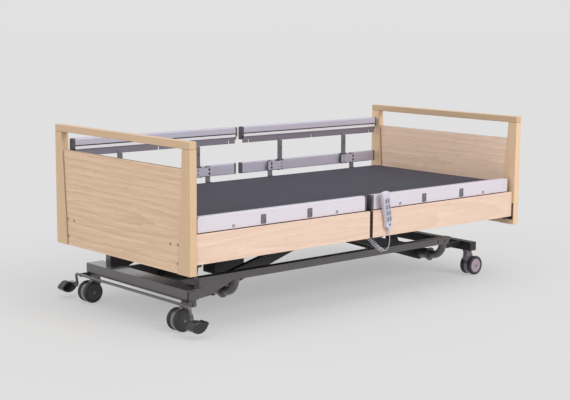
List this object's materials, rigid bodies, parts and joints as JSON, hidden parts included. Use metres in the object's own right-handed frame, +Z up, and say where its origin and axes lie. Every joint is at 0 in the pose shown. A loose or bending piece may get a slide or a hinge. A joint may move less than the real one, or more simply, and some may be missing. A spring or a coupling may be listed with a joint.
{
  "type": "adjustable hospital bed",
  "caption": "Adjustable care bed with profiling deck, lifting arms, wooden boards, telescopic side rails, casters and hand control.",
  "frame": {"origin": "on the floor, at the centre of the bed's footprint", "axes": "+X along the bed to the head end, +Y across to the far long side, +Z up"},
  "size_m": [2.15, 1.0881, 0.841],
  "materials": {
    "dark_steel": "satin powder coat",
    "black_steel": "matt black powder coat",
    "oak_panel": "satin oak grain",
    "maple_edge": "satin lacquered beech",
    "aluminium": "satin anodised",
    "mattress_cover": "matt elastic cover",
    "caster_tyre": "matt",
    "pedal_plastic": "textured",
    "housing_plastic": "matt",
    "handset_plastic": "matt",
    "key_rubber": "matt",
    "cord_jacket": "satin",
    "rod_steel": "ground",
    "fixings": "satin"
  },
  "bodies": {
    "base": {"base_side_tubes": "dark_steel", "foot_cross_beam": "dark_steel", "head_cross_beam": "dark_steel", "lift_pivot_tubes": "dark_steel"},
    "brake": {"brake_bar": "dark_steel", "brake_pedals": "pedal_plastic"},
    "foot_arms": {"foot_lift_arms": "black_steel"},
    "head_arms": {"head_lift_arms": "black_steel"},
    "lift_motor": {"lift_motor": "housing_plastic"},
    "lift_rod": {"lift_rod": "rod_steel"},
    "upper_frame": {"upper_frame": "black_steel", "seat_deck": "dark_steel", "foot_posts": "maple_edge", "foot_hand_rail": "maple_edge", "foot_panel": "oak_panel", "head_posts": "maple_edge", "head_hand_rail": "maple_edge", "head_panel": "oak_panel", "board_fixings": "fixings", "side_panels_near": "oak_panel", "side_panels_far": "oak_panel", "control_box": "housing_plastic", "handset": "handset_plastic", "handset_cord": "cord_jacket", "curly_cord": "cord_jacket", "mattress_seat": "mattress_cover", "back_motor": "housing_plastic", "leg_motor": "housing_plastic"},
    "back_rod": {"back_rod": "rod_steel"},
    "leg_rod": {"leg_rod": "rod_steel"},
    "backrest": {"back_deck": "dark_steel", "mattress_back": "mattress_cover"},
    "thigh_rest": {"thigh_deck": "dark_steel", "mattress_thigh": "mattress_cover"},
    "calf_rest": {"calf_deck": "dark_steel", "mattress_calf": "mattress_cover"},
    "upper_rail_foot_near": {"upper_rail_foot_near": "aluminium", "rail_posts_foot_near": "fixings"},
    "lower_rail_foot_near": {"lower_rail_foot_near": "aluminium"},
    "upper_rail_head_near": {"upper_rail_head_near": "aluminium", "rail_posts_head_near": "fixings"},
    "lower_rail_head_near": {"lower_rail_head_near": "aluminium"},
    "upper_rail_foot_far": {"upper_rail_foot_far": "aluminium", "rail_posts_foot_far": "fixings"},
    "lower_rail_foot_far": {"lower_rail_foot_far": "aluminium"},
    "upper_rail_head_far": {"upper_rail_head_far": "aluminium", "rail_posts_head_far": "fixings"},
    "lower_rail_head_far": {"lower_rail_head_far": "aluminium"},
    "caster_foot_near": {"caster_fork_foot_near": "dark_steel"},
    "wheels_foot_near": {"caster_wheels_foot_near": "caster_tyre"},
    "caster_foot_far": {"caster_fork_foot_far": "dark_steel"},
    "wheels_foot_far": {"caster_wheels_foot_far": "caster_tyre"},
    "caster_head_near": {"caster_fork_head_near": "dark_steel"},
    "wheels_head_near": {"caster_wheels_head_near": "caster_tyre"},
    "caster_head_far": {"caster_fork_head_far": "dark_steel"},
    "wheels_head_far": {"caster_wheels_head_far": "caster_tyre"},
    "key_back": {"key_back": "key_rubber"},
    "key_thigh": {"key_thigh": "key_rubber"},
    "key_height": {"key_height": "key_rubber"},
    "key_auto": {"key_auto": "key_rubber"}
  },
  "joints": [
    {"name": "bed_height", "type": "slide", "parent": "base", "child": "upper_frame", "axis": [0, 0, 1], "range_m": [0, 0.38]},
    {"name": "foot_arm_pivot", "type": "hinge", "parent": "base", "child": "foot_arms", "pos_m": [-0.69, 0, 0.12], "axis": [0, -1, 0], "range_deg": [0, 38.64]},
    {"name": "head_arm_pivot", "type": "hinge", "parent": "base", "child": "head_arms", "pos_m": [0.69, 0, 0.12], "axis": [0, 1, 0], "range_deg": [0, 38.64]},
    {"name": "lift_motor_pivot", "type": "hinge", "parent": "foot_arms", "child": "lift_motor", "pos_m": [-0.6471, 0, 0.24272], "axis": [0, 1, 0], "range_deg": [0, 38.64]},
    {"name": "lift_rod_stroke", "type": "slide", "parent": "lift_motor", "child": "lift_rod", "axis": [1, 0, 0], "range_m": [0, 0.172]},
    {"name": "back_raise", "type": "hinge", "parent": "upper_frame", "child": "backrest", "pos_m": [0.22, 0, 0.398], "axis": [0, -1, 0], "range_deg": [0, 70]},
    {"name": "back_rod_stroke", "type": "slide", "parent": "upper_frame", "child": "back_rod", "axis": [1, 0, 0], "range_m": [0, 0.1265]},
    {"name": "thigh_raise", "type": "hinge", "parent": "upper_frame", "child": "thigh_rest", "pos_m": [0, 0, 0.398], "axis": [0, 1, 0], "range_deg": [0, 35]},
    {"name": "knee_fold", "type": "hinge", "parent": "thigh_rest", "child": "calf_rest", "pos_m": [-0.34, 0, 0.398], "axis": [0, 1, 0], "range_deg": [-52.3, 0]},
    {"name": "leg_rod_stroke", "type": "slide", "parent": "upper_frame", "child": "leg_rod", "axis": [-1, 0, 0], "range_m": [0, 0.0665]},
    {"name": "rail_foot_near", "type": "slide", "parent": "upper_frame", "child": "upper_rail_foot_near", "axis": [0, 0, 1], "range_m": [0, 0.254]},
    {"name": "rail_follow_foot_near", "type": "slide", "parent": "upper_frame", "child": "lower_rail_foot_near", "axis": [0, 0, 1], "range_m": [0, 0.152]},
    {"name": "rail_head_near", "type": "slide", "parent": "upper_frame", "child": "upper_rail_head_near", "axis": [0, 0, 1], "range_m": [0, 0.254]},
    {"name": "rail_follow_head_near", "type": "slide", "parent": "upper_frame", "child": "lower_rail_head_near", "axis": [0, 0, 1], "range_m": [0, 0.152]},
    {"name": "rail_foot_far", "type": "slide", "parent": "upper_frame", "child": "upper_rail_foot_far", "axis": [0, 0, 1], "range_m": [-0.254, 0]},
    {"name": "rail_follow_foot_far", "type": "slide", "parent": "upper_frame", "child": "lower_rail_foot_far", "axis": [0, 0, 1], "range_m": [-0.152, 0]},
    {"name": "rail_head_far", "type": "slide", "parent": "upper_frame", "child": "upper_rail_head_far", "axis": [0, 0, 1], "range_m": [-0.254, 0]},
    {"name": "rail_follow_head_far", "type": "slide", "parent": "upper_frame", "child": "lower_rail_head_far", "axis": [0, 0, 1], "range_m": [-0.152, 0]},
    {"name": "swivel_foot_near", "type": "hinge", "parent": "base", "child": "caster_foot_near", "pos_m": [-0.969, -0.36, 0.1], "axis": [0, 0, 1], "continuous": true},
    {"name": "roll_foot_near", "type": "hinge", "parent": "caster_foot_near", "child": "wheels_foot_near", "pos_m": [-1.003, -0.36, 0.05], "axis": [0, 1, 0], "continuous": true},
    {"name": "swivel_foot_far", "type": "hinge", "parent": "base", "child": "caster_foot_far", "pos_m": [-0.969, 0.36, 0.1], "axis": [0, 0, 1], "continuous": true},
    {"name": "roll_foot_far", "type": "hinge", "parent": "caster_foot_far", "child": "wheels_foot_far", "pos_m": [-1.003, 0.36, 0.05], "axis": [0, 1, 0], "continuous": true},
    {"name": "swivel_head_near", "type": "hinge", "parent": "base", "child": "caster_head_near", "pos_m": [0.875, -0.36, 0.1], "axis": [0, 0, 1], "continuous": true},
    {"name": "roll_head_near", "type": "hinge", "parent": "caster_head_near", "child": "wheels_head_near", "pos_m": [0.909, -0.36, 0.05], "axis": [0, 1, 0], "continuous": true},
    {"name": "swivel_head_far", "type": "hinge", "parent": "base", "child": "caster_head_far", "pos_m": [0.875, 0.36, 0.1], "axis": [0, 0, 1], "continuous": true},
    {"name": "roll_head_far", "type": "hinge", "parent": "caster_head_far", "child": "wheels_head_far", "pos_m": [0.909, 0.36, 0.05], "axis": [0, 1, 0], "continuous": true},
    {"name": "brake_pedal", "type": "hinge", "parent": "base", "child": "brake", "pos_m": [-0.969, 0, 0.121], "axis": [0, 1, 0], "range_deg": [-12, 12]},
    {"name": "press_back", "type": "hinge", "parent": "upper_frame", "child": "key_back", "pos_m": [0.07999, -0.5416, 0.4887], "axis": [-0.1736, 0, 0.9848], "range_deg": [-4, 4], "stiffness_Nm_per_rad": 0.02},
    {"name": "press_thigh", "type": "hinge", "parent": "upper_frame", "child": "key_thigh", "pos_m": [0.08502, -0.5416, 0.46014], "axis": [-0.1736, 0, 0.9848], "range_deg": [-4, 4], "stiffness_Nm_per_rad": 0.02},
    {"name": "press_height", "type": "hinge", "parent": "upper_frame", "child": "key_height", "pos_m": [0.09006, -0.5416, 0.43158], "axis": [-0.1736, 0, 0.9848], "range_deg": [-4, 4], "stiffness_Nm_per_rad": 0.02},
    {"name": "press_auto", "type": "hinge", "parent": "upper_frame", "child": "key_auto", "pos_m": [0.0951, -0.5416, 0.40302], "axis": [-0.1736, 0, 0.9848], "range_deg": [-4, 4], "stiffness_Nm_per_rad": 0.02}
  ],
  "couplings": [
    {"joint": "foot_arm_pivot", "follows": "bed_height", "rad_per_m": 1.7702},
    {"joint": "head_arm_pivot", "follows": "bed_height", "rad_per_m": 1.7702},
    {"joint": "lift_motor_pivot", "follows": "bed_height", "rad_per_m": 1.7702},
    {"joint": "lift_rod_stroke", "follows": "bed_height", "ratio": 0.45162},
    {"joint": "back_rod_stroke", "follows": "back_raise", "m_per_rad": 0.10329},
    {"joint": "knee_fold", "follows": "thigh_raise", "ratio": -1.49},
    {"joint": "leg_rod_stroke", "follows": "thigh_raise", "m_per_rad": 0.1083},
    {"joint": "rail_follow_foot_near", "follows": "rail_foot_near", "ratio": 0.59843},
    {"joint": "rail_follow_head_near", "follows": "rail_head_near", "ratio": 0.59843},
    {"joint": "rail_follow_foot_far", "follows": "rail_foot_far", "ratio": 0.59843},
    {"joint": "rail_follow_head_far", "follows": "rail_head_far", "ratio": 0.59843}
  ]
}
